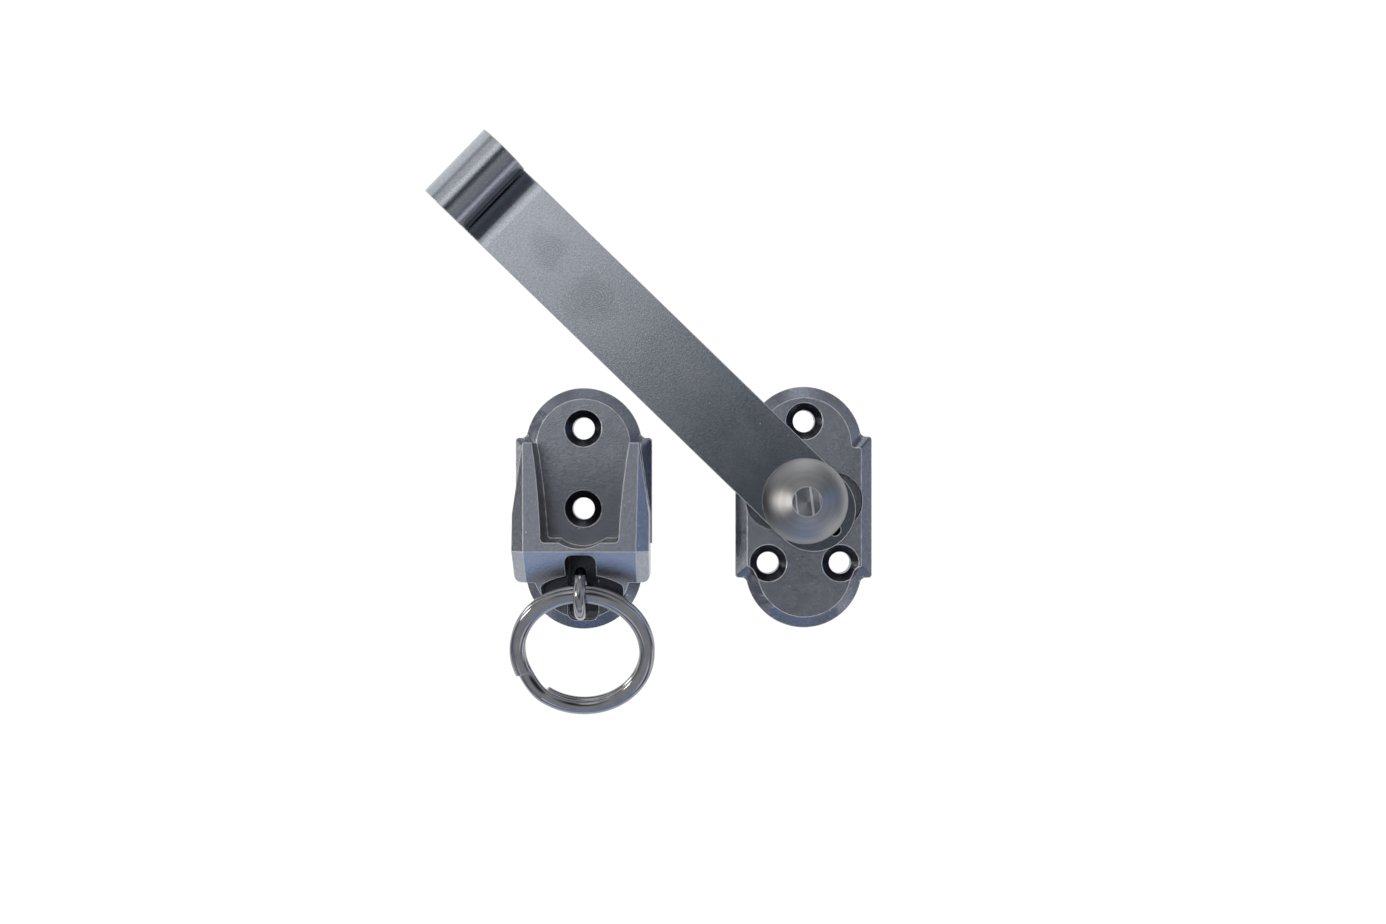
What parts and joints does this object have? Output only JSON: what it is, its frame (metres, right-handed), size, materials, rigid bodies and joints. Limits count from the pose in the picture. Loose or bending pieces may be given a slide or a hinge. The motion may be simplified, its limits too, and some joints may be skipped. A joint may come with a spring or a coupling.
{
  "type": "hatch latch",
  "caption": "Two-part surface latch: a swinging spring strap with a rolled finger end on a screw-down pivot plate, and a channelled catch with a hinged split ring.",
  "frame": {"origin": "on the arm's pivot axis, in the plane of the pivot plate's back face", "axes": "+Z out of the door along the pivot axis, +Y from the plate's two lower screws towards its single top screw, +X across the plate, away from the catch"},
  "size_m": [0.105, 0.1376, 0.0198],
  "materials": {
    "cast_black_nickel": "black nickel over a fine cast grain, satin",
    "strip_black_nickel": "black nickel on smooth spring strip, satin gloss",
    "bright_black_nickel": "black nickel, glossy",
    "turned_steel": "turned, with fine rings",
    "spring_steel": "oiled spring steel",
    "plain_steel": "zinc plated"
  },
  "bodies": {
    "plates": {"pivot_plate": "cast_black_nickel", "thrust_washer": "plain_steel", "pivot_stud": "turned_steel", "disc_spring": "spring_steel", "stud_nut": "plain_steel", "catch_body": "cast_black_nickel", "ring_eye": "bright_black_nickel"},
    "arm": {"strap_arm": "strip_black_nickel"},
    "ring": {"split_ring": "bright_black_nickel"}
  },
  "joints": [
    {"name": "arm_swing", "type": "hinge", "parent": "plates", "child": "arm", "pos_m": [0, 0, 0.0072], "axis": [0, 0, 1], "range_deg": [-254, 10]},
    {"name": "ring_swing", "type": "hinge", "parent": "plates", "child": "ring", "pos_m": [-0.0523, -0.02125, 0.0146], "axis": [-1, 0, 0], "range_deg": [0, 172]}
  ]
}
